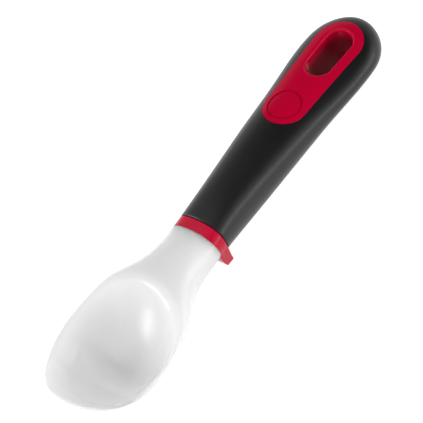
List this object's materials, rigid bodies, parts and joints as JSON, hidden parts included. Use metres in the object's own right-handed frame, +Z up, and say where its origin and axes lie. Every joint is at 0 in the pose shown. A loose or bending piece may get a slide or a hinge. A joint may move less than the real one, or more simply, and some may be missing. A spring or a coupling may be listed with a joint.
{
  "type": "ice cream scoop",
  "caption": "Rigid ice cream scoop: pointed spoon-shaped bowl on a rounded handle, with a collar whose tab keeps the bowl off the table, and a hanging eye.",
  "frame": {"origin": "on the table plane, under the middle of the scoop's length, on its plane of symmetry", "axes": "+X from the bowl to the hanging end, +Y to the scoop's left, +Z up, with the scoop lying on its rest tab and the end of its handle"},
  "size_m": [0.206, 0.0522, 0.0278],
  "materials": {
    "white_plastic": "smooth, slightly translucent white plastic",
    "red_plastic": "smooth red plastic",
    "core_plastic": "plain rigid plastic, hidden",
    "black_grip": "satin black soft-touch plastic"
  },
  "bodies": {
    "root": {"scoop_head": "white_plastic", "collar_rest": "red_plastic", "handle_core": "core_plastic", "handle_grip": "black_grip", "hang_insert": "red_plastic"}
  },
  "joints": []
}
